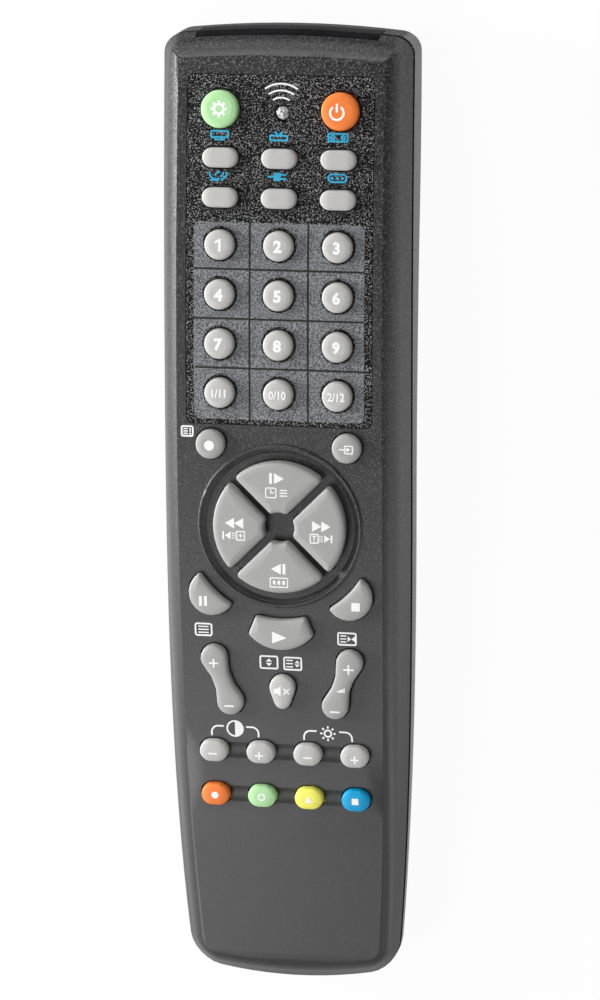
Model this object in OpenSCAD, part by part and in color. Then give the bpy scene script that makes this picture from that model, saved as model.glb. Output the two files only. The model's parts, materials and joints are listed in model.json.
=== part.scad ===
// Universal remote control, lying on its back with the keys up.
// Lengths are in millimetres. +Y points to the signal window and +Z out of the keys.
// The origin is on the back, under the middle of the case.

/* [Case] */
// Length of the case
body_len = 202.8; // [196:0.2:220]
// Width of the case over its upper half
body_w = 52; // [51:0.2:60]
// Height of the face over the back, at the top of its arch
face_h = 24.5; // [24:0.5:30]
// Radius of the face's lengthwise arch
face_r = 580; // [540:10:900]
// Distance of the arch's top from the signal end
arch_in = 87.4; // [82:0.2:96]
// Distance from the signal end at which the arch runs out straight
arch_len = 161.4; // [152:0.2:176]
// Corner radius in plan at the signal end
top_corner = 3.8; // [3:0.2:8]
// Corner radius in plan at the tail
tail_corner = 6.8; // [5:0.2:12]
// Bow of the signal end
top_bow = 1.6; // [0.2:0.1:2.4]
// Bow of the tail end
tail_bow = 2.9; // [0.2:0.1:4]
// How far each side draws in at the tail
tail_draw = 3.9; // [1:0.1:5]
// Place where the sides begin to draw in, up from the middle of the case
draw_from = 26; // [0:1:40]
// How far the upper shell's walls lean in between the seam and the shoulder
wall_in = 1.2; // [0.4:0.1:1.4]
// Width of the rounded shoulder
shoulder_w = 3.3; // [2:0.1:3.6]
// Drop of the rounded shoulder
shoulder_drop = 4.9; // [3:0.1:5]
// How far the shoulder turns between its two edges, in degrees
shoulder_turn = 50; // [30:5:90]
// Thickness of the side walls
side_wall = 2; // [1.7:0.1:2.6]
// Thickness of the face
face_wall = 1.8; // [1.6:0.1:2.2]
// Thickness of the back
back_wall = 1.8; // [1.4:0.1:2.6]
// Inset of the flat back from the sides
back_in = 6.5; // [4:0.5:8]
// Height of the rounded back edge along the grip
grip_round = 10.3; // [5:0.1:11]
// Height of the rounded back edge at the signal end
top_round = 1.6; // [1.2:0.2:4]

/* [Seam] */
// Height of the seam at the middle of the case
seam_h = 14.8; // [14:0.1:15.5]
// Radius of the seam's lengthwise arch
seam_r = 1110; // [1000:10:1600]
// Height of the shadow groove along the seam
seam_gap = 2; // [0.8:0.1:2]
// Depth of the shadow groove
seam_depth = 1; // [0.8:0.1:1.3]
// Height of the lip inside the seam that locates the shells
lip_h = 1.2; // [0.8:0.1:1.6]

/* [Signal window and overlay] */
// Width of the signal window
window_w = 38; // [28:1:40]
// Height of the signal window
window_h = 8.2; // [6:0.1:8.4]
// Height of the window's lower edge over the back
window_z = 5; // [4.6:0.1:6]
// Width of the overlay plate
overlay_w = 38.8; // [36:0.2:42]
// Distance of the overlay plate from the signal end
overlay_in = 8.5; // [7.9:0.1:10]
// Length of the overlay plate
overlay_len = 71.7; // [70:0.1:72]
// Thickness of the overlay plate
overlay_t = 0.5; // [0.3:0.1:0.8]
// Corner radius of the overlay plate
overlay_corner = 1.6; // [0.5:0.1:3]
// Diameter of the indicator lamp
lamp_d = 3; // [2:0.1:4]

/* [Keys] */
// Height of the key tops over the face
key_rise = 1.5; // [1:0.1:2.5]
// Travel of a key
key_travel = 0.8; // [0.5:0.1:0.9]
// Clearance round a key in its hole
key_gap = 0.35; // [0.3:0.05:0.45]
// Radius of a key's top edge
key_edge = 0.55; // [0.3:0.05:0.7]
// How far a key's retaining skirt stands out
skirt = 0.65; // [0.6:0.05:0.75]
// Thickness of the skirt
skirt_t = 0.6; // [0.5:0.1:0.8]
// Diameter of the two keys at the top
set_d = 7.8; // [6:0.1:9]
// Distance of the two top keys from the centre line
set_x = 12.5; // [11:0.1:14]
// Distance of the two top keys from the signal end
set_in = 15.5; // [14.8:0.1:16.4]
// Spacing of the three key columns
column = 12.3; // [11:0.1:13]
// Length of a device key
device_len = 7.4; // [6:0.1:8.5]
// Width of a device key
device_w = 4.1; // [3.4:0.1:4.6]
// Upper row of device keys, down from the top keys
device_drop = 9.8; // [9:0.1:10.6]
// Spacing of the device rows
device_row = 8.1; // [7.5:0.1:8.5]
// Diameter of a number key
digit_d = 6.2; // [5:0.1:7.4]
// Upper row of number keys, down from the top keys
digit_drop = 27.55; // [27:0.05:28]
// Spacing of the number rows
digit_row = 10.2; // [9.6:0.1:10.4]
// Diameter of the record and source keys
pair_d = 6.1; // [5:0.1:6.6]
// Distance of the record and source keys from the centre line
pair_x = 14.3; // [13.8:0.1:16]
// Row of the record and source keys, down from the top keys
pair_drop = 68.95; // [68.9:0.05:69.8]

/* [Ring pad and transport keys] */
// Centre of the ring pad, down from the top keys
pad_drop = 86.1; // [85.6:0.1:86.4]
// Outer radius of the pad's sectors
pad_r = 13.9; // [12:0.1:14.4]
// Radius of the hub between the sectors
hub_r = 3.3; // [2.6:0.1:4]
// Width of the slots between the sectors
pad_slot = 1.7; // [1.6:0.1:2.4]
// Radius of the dish round the pad
dish_r = 16.5; // [16:0.1:17]
// Depth of the dish
dish_depth = 0.8; // [0.3:0.1:0.9]
// Radius of the bead round the dish
bead_r = 0.45; // [0.3:0.05:0.6]
// Radius of the arc that cuts the transport keys, about the pad
cut_r = 19.8; // [19.2:0.1:20.4]
// Radius of the pause and stop keys
leaf_r = 4.85; // [4:0.05:5]
// Distance of the pause and stop keys from the pad's centre
leaf_mid = 20.5; // [20:0.1:20.8]
// Radius of the play key's lower edge
play_r = 8.7; // [8.4:0.1:9]
// Distance of that edge's centre from the pad's centre
play_mid = 17.6; // [17.2:0.1:18]
// Distance of the play key's sides from the same centre
play_side = 4.3; // [4:0.1:4.6]
// Lean of the play key's sides, in degrees
play_lean = 22; // [18:1:26]

/* [Rockers and lower keys] */
// Distance of the rockers from the centre line
rocker_x = 12.75; // [12:0.05:13.5]
// Row of the rockers, down from the top keys
rocker_drop = 119.5; // [119:0.1:120]
// Distance between a rocker's lobes
rocker_len = 10.1; // [8:0.1:10.6]
// Radius of a rocker's lobes
rocker_lobe = 2.8; // [2.4:0.1:3.2]
// Width of a rocker's waist
rocker_waist = 3.6; // [3:0.1:4.4]
// Lean of a rocker from the case's length, in degrees
rocker_lean = 18.7; // [0:0.1:25]
// How far a rocker tips each way, in degrees
rocker_tip = 4; // [2:0.5:5]
// Row of the mute key, down from the top keys
mute_drop = 122.1; // [121:0.1:122.6]
// Radius of the mute key's wide end
mute_r = 2.7; // [2.2:0.1:3]
// Radius of the mute key's narrow end
mute_tip_r = 1.75; // [1.4:0.05:2]
// Distance between the mute key's two radii
mute_len = 2.9; // [2:0.1:3]
// Spacing of the lower keys along their rows
pill_pitch = 10; // [9.2:0.1:10.4]
// Row of the grey lower keys, down from the top keys
grey_drop = 135.3; // [134.4:0.1:136]
// Row of the coloured keys, down from the top keys
colour_drop = 145.1; // [144:0.1:146]
// Length of a lower key
pill_len = 6; // [5.2:0.1:6.6]
// Width of a lower key
pill_w = 4.7; // [4:0.1:5]
// Depth of the hollow that joins the keys of a lower row
valley_depth = 0.35; // [0.1:0.05:0.6]
// Radius of that hollow
valley_r = 5; // [3:0.5:10]

/* [Inside] */
// Diameter of a cell
cell_d = 10.5; // [9.5:0.1:10.8]
// Length of a cell
cell_len = 44.5; // [40:0.1:46]
// Distance of the battery bay's middle from the tail
bay_in = 50.4; // [48.4:0.2:51.4]
// Wall of the battery bay
bay_wall = 1.2; // [1:0.1:1.4]
// Room for a spring at a cell's end
spring_room = 4.5; // [4:0.1:6]
// Wire of the springs
spring_wire = 0.7; // [0.5:0.1:0.9]
// Thickness of the circuit board
board_t = 1.2; // [0.8:0.1:1.4]
// Width of the circuit board
board_w = 42; // [39:0.5:43]
// Thickness of the key mat
mat_t = 0.8; // [0.6:0.1:0.9]
// Thickness of the battery cover
cover_t = 1.6; // [1.4:0.1:1.8]
// Width of the battery cover between its tongues
cover_w = 30; // [28:0.5:31]
// How far the battery cover runs past the bay's upper end
cover_over = 6.35; // [4.35:0.25:8.35]
// Diameter of the case screw
screw_d = 2.2; // [2:0.1:2.6]
// Distance of the case screw from the tail
screw_in = 15.4; // [13.4:0.2:17]

/* [Hidden] */
$fn = 48;
case_grey = "#414143";
key_grey = "#bcbcb9";
fit = 0.15;
loose = 0.3;
hw = body_w / 2;
hl = body_len / 2;
face_y = hl - arch_in;
tail_run = arch_len - hl;
// How far the window's back bulges
window_lens = 0.3;
// Depth of the window's back under the signal end
window_back = side_wall + wall_in + fit;
// Thickness and lap of the flange that holds the window behind the wall
window_flange = 1;
window_lap = 0.25;

// Places along the case, from its middle
set_y = hl - set_in;
device_y = set_y - device_drop;
digit_y = set_y - digit_drop;
pair_y = set_y - pair_drop;
pad_y = set_y - pad_drop;
rocker_y = set_y - rocker_drop;
mute_y = set_y - mute_drop;
grey_y = set_y - grey_drop;
colour_y = set_y - colour_drop;
overlay_top = hl - overlay_in;
overlay_tail = overlay_top - overlay_len;
bay_y = bay_in - hl;
screw_y = screw_in - hl;

// Counts of steps along curves
end_steps = 5;
corner_steps = 6;
side_steps = 26;
shoulder_steps = 5;
back_steps = 5;
face_steps = 24;
key_steps = 3;
arc_steps = 6;
strip_steps = 10;

// How far a cut runs past what it cuts
past = 1;

// Shares of a shell's depth that its shoulder, its lip and its rounded back may take,
// and how far the lip leans in with the wall outside it
shoulder_share = 0.65;
shoulder_end = 45 + shoulder_turn / 2;
lip_share = 0.15;
lip_in = wall_in * lip_share / (1 - shoulder_share);
back_share = 0.9;
least_rim = 0.4;

// Where the top shell's hollow starts to close in, and how far it does
hollow_drop = 0.4;
hollow_less = 0.6;
hollow_in = shoulder_w - hollow_less;

// Heights from the back up to the keys
cell_z = cover_t + loose + cell_d / 2;
bay_top = cover_t + cell_d + 2 * loose + bay_wall;
board_top = bay_top + board_t;
mat_top = board_top + mat_t;
tray_z = cover_t + fit;
tray_top = tray_z + bay_wall;

// Battery bay and board
bay_hw = cell_d + 2 * loose;
bay_len = cell_len + spring_room + loose;
cover_front = bay_y + bay_len / 2 + cover_over;
plate_t = 0.4;
contact_w = cell_d - 1.5;
cell_end = bay_len / 2 - plate_t - loose / 2;
coil_tip = 1.8;
coil_seat = 3.8;
coil_turns = 2.5;
board_rim = 3;
board_y0 = colour_y - pill_w / 2 - board_rim;
board_y1 = set_y + set_d / 2 + board_rim;
post_x = board_w / 2 - board_rim;
post_ys = [board_y1 - board_rim, pad_y];
post_r = 2.2;
lamp_drop = 0.6;
lamp_x = 0.4;
lamp_y = set_y - lamp_drop;
lamp_sunk = lamp_d / 3;
led_r = 2.5;
led_rim = 0.4;
led_len = 8.5;
led_clear = 0.5;
led_y = hl - window_back - window_flange - window_lens - led_clear - led_len;
led_gap = 0.1;
led_z = bay_top - led_r - led_rim - led_gap;
lead_t = 0.5;
lead_len = 2.5;
lead_x = 1.27;
mat_edge = 0.5;
chip_in = 59;
chip_at = [0, board_y1 - chip_in];
chip_w = 7.5;
chip_h = 2;
chip_lift = 0.2;
chip_pins = 10;
pin_pitch = 1.27;
pin_reach = 2.2;
pin_w = 0.5;
pin_t = 0.8;
resonator_in = 51;
capacitor_in = 47;
transistor_in = 15;
resistor_in = 31;
resonator_at = [10, board_y1 - resonator_in];
capacitor_at = [-11, board_y1 - capacitor_in];
transistor_at = [8, board_y1 - transistor_in];
resistor_at = [-12, board_y1 - resistor_in];
resistor_pitch = 4;
cover_tongue = 1;
tongue_t = 0.8;
grip_ribs = 7;
grip_pitch = 1.6;
grip_from = 6;
grip_w = 0.8;
screw_head_r = 2.1;
screw_head_t = 1.6;
screw_spare = 2.5;
screw_top = face(screw_y) - face_wall - screw_spare;
boss_wall = 1.4;
boss_h = 6;
boss_split = tray_top + boss_h;

// Glue under the overlay, and how far it lies under the face
glue = 0.05;
overlay_sink = 0.02;
dish_bevel = 0.9;

// Corners of the sectors, the leaf keys and the play key
pad_corner = 0.8;
leaf_tip = 0.5;
play_tip = 0.6;
least_corner = 0.1;
least_post = 0.1;

// Key profile under the cap
post_in = 1;
dome_in = 1.3;
dome_rise = 0.15;
skirt_gap = loose;
post_gap = 0.5;
tip_lift = (rocker_len / 2 + rocker_lobe + skirt) * sin(rocker_tip);

// Every key: name, form, x, y, turn and colour
digit_names = ["1", "2", "3", "4", "5", "6", "7", "8", "9", "11", "0", "12"];
pill_xs = [for (i = [-1.5:1:1.5]) i * pill_pitch];
grey_names = ["contrast_down_key", "contrast_up_key", "bright_down_key", "bright_up_key"];
colour_names = ["red_key", "green_key", "yellow_key", "blue_key"];
colour_shades = ["#e9905e", "#cbecc0", "#f5f385", "#23bce2"];
leaf_x = leaf_mid * sin(45);
leaf_y = pad_y - leaf_mid * cos(45);
KEYS = concat(
    [["set_key", "set", -set_x, set_y, 0, "#bfe6b1"]],
    [["power_key", "set", set_x, set_y, 0, "#ef8f5f"]],
    [for (i = [0:5]) [str("device_key_", i + 1), "device",
        (i % 3 - 1) * column, device_y - floor(i / 3) * device_row, 0, key_grey]],
    [for (i = [0:11]) [str("digit_key_", digit_names[i]), "digit",
        (i % 3 - 1) * column, digit_y - floor(i / 3) * digit_row, 0, key_grey]],
    [["record_key", "pair", -pair_x, pair_y, 0, key_grey]],
    [["source_key", "pair", pair_x, pair_y, 0, key_grey]],
    [["nav_up_key", "sector", 0, pad_y, 0, key_grey]],
    [["nav_left_key", "sector", 0, pad_y, 90, key_grey]],
    [["nav_down_key", "sector", 0, pad_y, 180, key_grey]],
    [["nav_right_key", "sector", 0, pad_y, 270, key_grey]],
    [["pause_key", "leaf", -leaf_x, leaf_y, 135, key_grey]],
    [["stop_key", "leaf", leaf_x, leaf_y, 225, key_grey]],
    [["play_key", "play", 0, pad_y - play_mid, 180, key_grey]],
    [["program_rocker", "rocker", -rocker_x, rocker_y, rocker_lean, key_grey]],
    [["volume_rocker", "rocker", rocker_x, rocker_y, -rocker_lean, key_grey]],
    [["mute_key", "egg", 0, mute_y, 0, key_grey]],
    [for (i = [0:3]) [grey_names[i], "pill", pill_xs[i], grey_y, 0, key_grey]],
    [for (i = [0:3]) [colour_names[i], "pill", pill_xs[i], colour_y, 0, colour_shades[i]]]);

// Height of the face, its slope and the height of the seam at a place along the case
function arch(y) = face_h - face_r + sqrt(face_r * face_r - pow(y - face_y, 2));
function lean(y) = -asin((max(y, -tail_run) - face_y) / face_r);
function face(y) = arch(max(y, -tail_run)) + min(0, y + tail_run) * tan(lean(-tail_run));
function seam(y) = seam_h - seam_r + sqrt(seam_r * seam_r - y * y);
function groove_top(y) = seam(y) + seam_gap / 2;
function groove_tail(y) = seam(y) - seam_gap / 2;
function shell_depth(y) = face(y) - groove_top(y);
function shoulder(y) = min(shoulder_drop, shoulder_share * shell_depth(y));
function shoulder_part(a) = (sin(shoulder_end) - sin(a)) / (sin(shoulder_end) - cos(shoulder_end));
function lip_top(y) = groove_top(y) + min(lip_h, lip_share * shell_depth(y));

// Height of the rounded back edge, which gets lower towards the signal end
function blend(s) = s * s * (3 - 2 * s);
function back_edge(y) = min(back_share * groove_tail(y), grip_round
    + (top_round - grip_round) * blend(max(0, min(1, y / hl))));
function inner_floor(y) = y < cover_front ? tray_top : back_wall;

// Plan of the case: a rounded rectangle drawn in at the tail, with bowed ends
function draw_in(y) = y < draw_from ? tail_draw * pow((draw_from - y) / (draw_from + hl), 3) : 0;
function bow(y) = y > 0 ? top_bow * pow(y / hl, 6) : -tail_bow * pow(-y / hl, 6);
function shaped(p) = [p[0] * (1 - draw_in(p[1]) / hw), p[1] - bow(p[1]) * pow(p[0] / hw, 2)];
function arc(c, r, a0, a1, n, first = 0) =
    [for (i = [first:n]) let (a = a0 + (a1 - a0) * i / n) c + r * [cos(a), sin(a)]];
function half_rim(d) =
    let (rt = max(least_rim, top_corner - d), rb = max(least_rim, tail_corner - d))
    let (ct = [hw - d - rt, hl - d - rt], cb = [hw - d - rb, rb + d - hl])
    concat(
        [for (i = [0:end_steps - 1]) [ct[0] * i / end_steps, hl - d]],
        arc(ct, rt, 90, 0, corner_steps),
        [for (i = [1:side_steps - 1]) [hw - d, ct[1] + (cb[1] - ct[1]) * i / side_steps]],
        arc(cb, rb, 0, -90, corner_steps),
        [for (i = [end_steps - 1:-1:0]) [cb[0] * i / end_steps, d - hl]]);

// An outline runs clockwise from a point on its axis of symmetry, along +Y
function mirrored(half) = concat(half,
    [for (i = [len(half) - 2:-1:1]) [-half[i][0], half[i][1]]]);
function rim(d) = [for (p = mirrored(half_rim(d))) shaped(p)];
function ring(d, height) = [for (p = rim(d)) [p[0], p[1], height(p[1])]];

// Closed solid through rings that share a count of points and an axis of symmetry, its ends
// closed in strips across that axis, or from the outer edge in to an inner edge that curves in
module loft(rings, curved_in = false) {
    n = len(rings[0]);
    half = n / 2;
    last = (len(rings) - 1) * n;
    bands = [for (k = [0:len(rings) - 2], i = [0:n - 1], t = [0, 1])
        let (a = k * n + i, b = k * n + (i + 1) % n)
        t == 0 ? [a, b, b + n] : [a, b + n, a + n]];
    across = [for (i = [0:half - 1], t = [0, 1])
        let (left = (n - i) % n, next = n - i - 1)
        if (t == 0 ? i > 0 : i < half - 1)
            t == 0 ? [left, i, i + 1] : [left, i + 1, next]];
    inward = [for (i = [0:half / 2 - 1], t = [0, 1])
        let (inner = half - i)
        if (t == 0 || i + 2 < inner)
            t == 0 ? [i, inner - 1, inner] : [i, i + 1, inner - 1]];
    cap = curved_in
        ? concat(inward, [for (f = inward) [(n - f[0]) % n, (n - f[2]) % n, (n - f[1]) % n]])
        : across;
    tail_cap = [for (f = cap) [f[2], f[1], f[0]]];
    top_cap = [for (f = cap) [f[0] + last, f[1] + last, f[2] + last]];
    polyhedron([for (r = rings) each r], concat(tail_cap, bands, top_cap));
}

// Put something on the face, square to it
module on_face(x, y) {
    translate([x, y, face(y)])
        rotate([lean(y), 0, 0])
            children();
}

// A slab that follows the face, between two depths under it
module face_slab(half_w, y0, y1, upper, lower) {
    ys = [for (i = [0:face_steps]) y0 + (y1 - y0) * i / face_steps];
    over = [for (y = ys) [y, face(y) - upper]];
    under = [for (i = [face_steps:-1:0]) [ys[i], face(ys[i]) - lower]];
    rotate([90, 0, 90])
        linear_extrude(2 * half_w, center = true)
            polygon(concat(over, under));
}

module rounded_plate(w, y0, y1, r, h) {
    linear_extrude(h) {
        translate([-w / 2, y0 + r])
            square([w, y1 - y0 - 2 * r]);
        translate([r - w / 2, y0])
            square([w - 2 * r, y1 - y0]);
        for (x = [r - w / 2, w / 2 - r], y = [y0 + r, y1 - r])
            translate([x, y])
                circle(r);
    }
}

module box(x0, x1, y0, y1, z0, z1) {
    translate([x0, y0, z0])
        cube([x1 - x0, y1 - y0, z1 - z0]);
}

// Outlines of the keys that aren't round or oval, each drawn in by a distance d
function sector_line(d) =
    let (corner = max(least_corner, pad_corner - d), side = pad_slot / 2 + d + corner)
    let (ro = pad_r - d - corner, ri = hub_r + d + corner)
    let (b = 45 + asin(side / ro), c = 45 + asin(side / ri))
    mirrored(concat(
        arc([0, 0], pad_r - d, 90, b, arc_steps),
        arc(ro * [cos(b), sin(b)], corner, b, -45, key_steps, 1),
        arc(ri * [cos(c), sin(c)], corner, -45, c - 180, key_steps),
        arc([0, 0], hub_r + d, c, 90, key_steps, 1)));
function leaf_line(d) =
    let (corner = max(least_corner, leaf_tip - d), ro = cut_r + d + corner, ri = leaf_r - d - corner)
    let (u = (ro * ro - ri * ri + leaf_mid * leaf_mid) / (2 * leaf_mid), v = sqrt(ro * ro - u * u))
    let (a = atan2(u - leaf_mid, v))
    mirrored(concat(
        arc([0, 0], leaf_r - d, 90, a, arc_steps),
        arc([v, u - leaf_mid], corner, a, atan2(-u, -v), key_steps, 1),
        arc([0, -leaf_mid], cut_r + d, atan2(u, v), 90, key_steps, 1)));
function play_line(d) =
    let (corner = max(least_corner, play_tip - d), side = play_side - d - corner)
    let (out = [cos(play_lean), -sin(play_lean)], along = [sin(play_lean), cos(play_lean)])
    let (ro = play_r - d - corner, ri = cut_r + d + corner)
    let (low = side * out + sqrt(ro * ro - side * side) * along, a = atan2(low[1], low[0]))
    let (back = side * out + [0, play_mid], run = back * along)
    let (high = side * out + (sqrt(run * run + ri * ri - back * back) - run) * along)
    mirrored(concat(
        arc([0, 0], play_r - d, 90, a, arc_steps),
        arc(low, corner, a, -play_lean, key_steps, 1),
        arc(high, corner, -play_lean, atan2(-high[1] - play_mid, -high[0]), key_steps),
        arc([0, -play_mid], cut_r + d, atan2(high[1] + play_mid, high[0]), 90, key_steps, 1)));
function rocker_line(d) =
    let (half = rocker_len / 2, w = rocker_waist / 2 - d, lobe = rocker_lobe - d)
    let (r = (half * half + w * w - lobe * lobe) / (2 * (lobe - w)), a = atan2(half, w + r))
    mirrored(concat(
        arc([0, half], lobe, 90, -a, arc_steps),
        arc([w + r, 0], r, 180 - a, 180 + a, key_steps, 1),
        arc([0, -half], lobe, a, -90, arc_steps, 1)));
function egg_line(d) =
    let (a = asin((mute_r - mute_tip_r) / mute_len))
    mirrored(concat(
        arc([0, mute_len / 2], mute_r - d, 90, -a, arc_steps),
        arc([0, -mute_len / 2], mute_tip_r - d, -a, -90, arc_steps)));
function key_line(form, d) =
    form == "sector" ? sector_line(d)
    : form == "leaf" ? leaf_line(d)
    : form == "play" ? play_line(d)
    : form == "rocker" ? rocker_line(d)
    : egg_line(d);

// Width and straight length of the round and oval keys
function key_w(form) = form == "set" ? set_d : form == "digit" ? digit_d : form == "pair" ? pair_d
    : form == "device" ? device_w : form == "pill" ? pill_w : 0;
function key_run(form) = form == "device" ? device_len - device_w
    : form == "pill" ? pill_len - pill_w : 0;

// Half a key's profile as insets and heights, from the contact post up to the crown
function skirt_top(form) = -face_wall - (form == "rocker" ? tip_lift + skirt_gap : skirt_gap);
function key_reach(form) = form == "sector" ? pad_r : form == "leaf" ? leaf_r
    : form == "play" ? play_r : form == "rocker" ? rocker_len / 2 + rocker_lobe
    : form == "egg" ? mute_len / 2 + mute_r : key_w(form) / 2;
function key_drop(form) = form == "rocker" ? tip_lift : key_travel;
function post_end(form, y) = key_drop(form) + (board_top + fit - face(y)
    + (key_reach(form) - post_in) * sin(abs(lean(y)))) / cos(lean(y));
function key_profile(form, y) =
    let (top = skirt_top(form), under = top - skirt_t, end = min(under - least_post, post_end(form, y)))
    concat(
        [[post_in, end], [post_in, under], [-skirt, under], [-skirt, top], [0, top]],
        [for (i = [0:key_steps]) let (a = 90 * i / key_steps)
            [key_edge * (1 - cos(a)), key_rise - key_edge * (1 - sin(a))]],
        [[dome_in, key_rise + dome_rise]]);

module half_profile(r, profile) {
    polygon(concat(
        [[0, profile[0][1]]],
        [for (p = profile) [r - p[0], p[1]]],
        [[0, profile[len(profile) - 1][1]]]));
}

// Oval solid: two half turns of the profile with a straight run between them
module oval(run, r, profile) {
    if (run > 0) {
        for (s = [-1, 1])
            translate([s * run / 2, 0, 0])
                rotate([0, 0, s < 0 ? 90 : -90])
                    rotate_extrude(angle = 180)
                        half_profile(r, profile);
        translate([-run / 2, 0, 0])
            rotate([90, 0, 90])
                linear_extrude(run) {
                    half_profile(r, profile);
                    mirror([1, 0])
                        half_profile(r, profile);
                }
    } else {
        rotate_extrude()
            half_profile(r, profile);
    }
}

module key(k) {
    form = k[1];
    profile = key_profile(form, k[3]);
    color(k[5])
        on_face(k[2], k[3])
            rotate([0, 0, k[4]])
                if (key_w(form) > 0) {
                    oval(key_run(form), key_w(form) / 2, profile);
                } else {
                    loft([for (p = profile) [for (q = key_line(form, p[0])) [q[0], q[1], p[1]]]],
                        form == "sector" || form == "leaf" || form == "play");
                }
}

// A key's outline in the flat, grown all round
module key_plan(k, grow) {
    form = k[1];
    run = key_run(form);
    r = key_w(form) / 2 + grow;
    rotate([0, 0, k[4]])
        if (key_w(form) > 0) {
            for (x = run > 0 ? [-run / 2, run / 2] : [0])
                translate([x, 0])
                    circle(r);
            if (run > 0)
                square([run, 2 * r], center = true);
        } else {
            polygon(key_line(form, -grow));
        }
}

// Straight cut of a key's outline, square to the face
module key_cut(k, grow, z0, z1) {
    on_face(k[2], k[3])
        translate([0, 0, z0])
            linear_extrude(z1 - z0)
                key_plan(k, grow);
}

// Outer form of the two shells
module top_form() {
    loft(concat(
        [ring(0, function(y) groove_top(y))],
        [for (i = [0:shoulder_steps])
            let (a = shoulder_end - shoulder_turn * (1 - i / shoulder_steps))
            ring(wall_in + shoulder_w * shoulder_part(90 - a),
                function(y) face(y) - shoulder(y) * shoulder_part(a))]));
}

module back_form(lip) {
    loft(concat(
        [for (i = [0:back_steps]) let (a = 90 * i / back_steps)
            ring(back_in * (1 - sin(a)), function(y) back_edge(y) * (1 - cos(a)))],
        [ring(0, function(y) groove_tail(y))],
        lip ? [ring(seam_depth, function(y) groove_tail(y))] : [],
        lip ? [ring(seam_depth + lip_in, function(y) lip_top(y))] : []));
}

module top_hollow() {
    rebate = seam_depth - fit;
    loft([
        ring(rebate, function(y) groove_tail(y)),
        ring(rebate + lip_in, function(y) lip_top(y) + fit),
        ring(side_wall + fit, function(y) lip_top(y) + fit),
        ring(side_wall + wall_in,
            function(y) max(face(y) - shoulder(y) - hollow_drop, lip_top(y) + 2 * fit)),
        ring(side_wall + wall_in + hollow_in, function(y) face(y) - face_wall)]);
}

module back_hollow() {
    loft(concat(
        [for (i = [0:back_steps]) let (a = 90 * i / back_steps)
            ring(side_wall + back_in * (1 - sin(a)),
                function(y) inner_floor(y) + back_edge(y) * (1 - cos(a)))],
        [ring(side_wall, function(y) lip_top(y) + back_wall + past)]));
}

module window_cut() {
    box(-window_w / 2 - fit, window_w / 2 + fit, hl - side_wall - top_bow - past, hl + past,
        window_z - fit, window_z + window_h + fit);
}

module top_case() {
    color(case_grey)
        difference() {
            union() {
                difference() {
                    top_form();
                    top_hollow();
                }
                translate([0, screw_y, boss_split + fit])
                    cylinder(r = screw_d / 2 + boss_wall,
                        h = face(screw_y) - face_wall / 2 - boss_split - fit);
                on_face(0, pad_y)
                    rotate_extrude()
                        translate([dish_r + bead_r, -bead_r / 3])
                            circle(bead_r);
            }
            translate([0, screw_y, boss_split - past])
                cylinder(d = screw_d + fit, h = screw_top + fit - boss_split + past);
            for (k = KEYS)
                key_cut(k, key_gap, -face_wall - past, key_rise);
            overlay_form(fit, -past, overlay_t + glue);
            translate([lamp_x, lamp_y, board_top])
                cylinder(d = lamp_d + 2 * fit, h = face_h);
            on_face(0, pad_y)
                rotate_extrude()
                    polygon([[0, -dish_depth], [dish_r - dish_bevel, -dish_depth],
                        [dish_r, 0], [dish_r, past], [0, past]]);
            for (y = [grey_y, colour_y])
                on_face(0, y)
                    translate([0, 0, valley_r - valley_depth])
                        rotate([0, 90, 0])
                            cylinder(r = valley_r, h = 3 * pill_pitch, center = true);
            window_cut();
        }
}

module cover_profile(grow) {
    translate([-cover_w / 2 - grow, -past])
        square([cover_w + 2 * grow, cover_t + grow + past]);
    translate([-cover_w / 2 - cover_tongue - grow, cover_t - tongue_t - grow])
        square([cover_w + 2 * cover_tongue + 2 * grow, tongue_t + 2 * grow]);
}

// The cover's section, run from its upper edge out past the tail
module cover_run(grow) {
    translate([0, cover_front + grow, 0])
        rotate([90, 0, 0])
            linear_extrude(hl + cover_front + grow + past)
                cover_profile(grow);
}

module bottom_case() {
    y0 = bay_y - bay_len / 2;
    y1 = bay_y + bay_len / 2;
    color(case_grey)
        difference() {
            union() {
                difference() {
                    back_form(true);
                    back_hollow();
                }
                box(-bay_hw - bay_wall, bay_hw + bay_wall, y0 - bay_wall, y1 + bay_wall,
                    tray_z + fit, bay_top);
                translate([0, screw_y, tray_z + fit])
                    cylinder(r = screw_head_r + boss_wall, h = boss_split - tray_z - fit);
                for (x = [-post_x, post_x], y = post_ys)
                    translate([x, y, back_wall / 2])
                        cylinder(r = post_r, h = bay_top - back_wall / 2);
            }
            box(-bay_hw, bay_hw, y0, y1, -past, bay_top - bay_wall);
            cover_run(fit);
            translate([0, screw_y, -past])
                cylinder(r = screw_head_r + fit, h = tray_z + screw_head_t + 2 * fit + past);
            translate([0, screw_y, -past])
                cylinder(d = screw_d + 2 * fit, h = boss_split + 2 * past);
            window_cut();
        }
}

module battery_cover() {
    color(case_grey)
        difference() {
            intersection() {
                back_form(false);
                cover_run(0);
            }
            for (i = [0:grip_ribs - 1])
                translate([0, cover_front - grip_from - i * grip_pitch, 0])
                    rotate([45, 0, 0])
                        cube([cover_w / 2, grip_w, grip_w], center = true);
        }
}

// Strip of the bowed end wall between two insets
module end_strip(half_w, in0, in1, z0, z1) {
    xs = [for (i = [0:strip_steps]) half_w * (2 * i / strip_steps - 1)];
    outer = [for (x = xs) shaped([x, hl]) - [0, in0]];
    inner = [for (i = [strip_steps:-1:0]) shaped([xs[i], hl]) - [0, in1]];
    translate([0, 0, z0])
        linear_extrude(z1 - z0)
            polygon(concat(outer, inner));
}

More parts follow.
